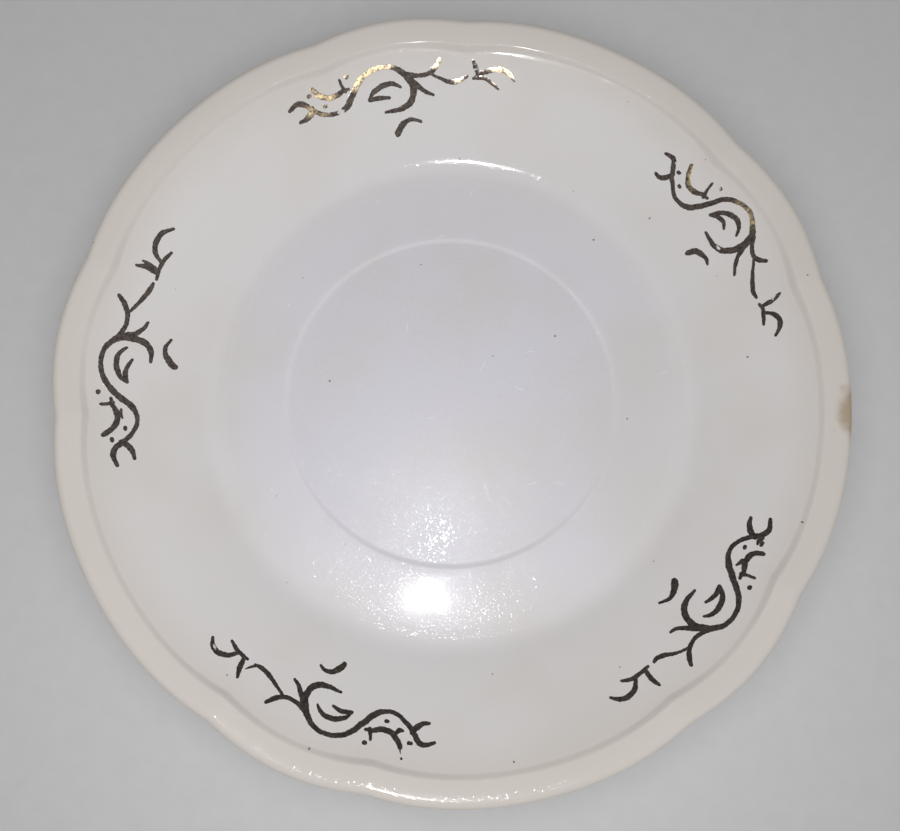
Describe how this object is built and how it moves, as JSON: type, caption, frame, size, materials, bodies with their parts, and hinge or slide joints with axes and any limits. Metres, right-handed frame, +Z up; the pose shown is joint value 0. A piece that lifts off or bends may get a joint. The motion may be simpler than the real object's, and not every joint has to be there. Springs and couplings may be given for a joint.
{
  "type": "saucer",
  "caption": "Round tea saucer of white glazed ceramic with a softly lobed rim, a moulded border line, a sunk well for the cup, a foot ring and gilt scroll ornament on the wall.",
  "frame": {"origin": "centre of the foot ring's standing face, on the table", "axes": "+Z up along the saucer's axis, +Y towards the first gilt motif and its short rim lobe"},
  "size_m": [0.1492, 0.15, 0.0226],
  "materials": {
    "white_glaze": "glossy transparent glaze over a white fired body",
    "worn_gilding": "fired gold line, rubbed and darkened"
  },
  "bodies": {
    "root": {"saucer_body": "white_glaze", "gilt_scroll_1": "worn_gilding", "gilt_leaf_1": "worn_gilding", "gilt_comma_1": "worn_gilding", "gilt_bracket_1": "worn_gilding", "gilt_tail_1": "worn_gilding", "gilt_rim_dot_1": "worn_gilding", "gilt_hollow_dot_1": "worn_gilding", "gilt_fork_dot_1": "worn_gilding", "gilt_scroll_2": "worn_gilding", "gilt_leaf_2": "worn_gilding", "gilt_comma_2": "worn_gilding", "gilt_bracket_2": "worn_gilding", "gilt_tail_2": "worn_gilding", "gilt_rim_dot_2": "worn_gilding", "gilt_hollow_dot_2": "worn_gilding", "gilt_fork_dot_2": "worn_gilding", "gilt_scroll_3": "worn_gilding", "gilt_leaf_3": "worn_gilding", "gilt_comma_3": "worn_gilding", "gilt_bracket_3": "worn_gilding", "gilt_tail_3": "worn_gilding", "gilt_rim_dot_3": "worn_gilding", "gilt_hollow_dot_3": "worn_gilding", "gilt_fork_dot_3": "worn_gilding", "gilt_scroll_4": "worn_gilding", "gilt_leaf_4": "worn_gilding", "gilt_comma_4": "worn_gilding", "gilt_bracket_4": "worn_gilding", "gilt_tail_4": "worn_gilding", "gilt_rim_dot_4": "worn_gilding", "gilt_hollow_dot_4": "worn_gilding", "gilt_fork_dot_4": "worn_gilding", "gilt_scroll_5": "worn_gilding", "gilt_leaf_5": "worn_gilding", "gilt_comma_5": "worn_gilding", "gilt_bracket_5": "worn_gilding", "gilt_tail_5": "worn_gilding", "gilt_rim_dot_5": "worn_gilding", "gilt_hollow_dot_5": "worn_gilding", "gilt_fork_dot_5": "worn_gilding"}
  },
  "joints": []
}
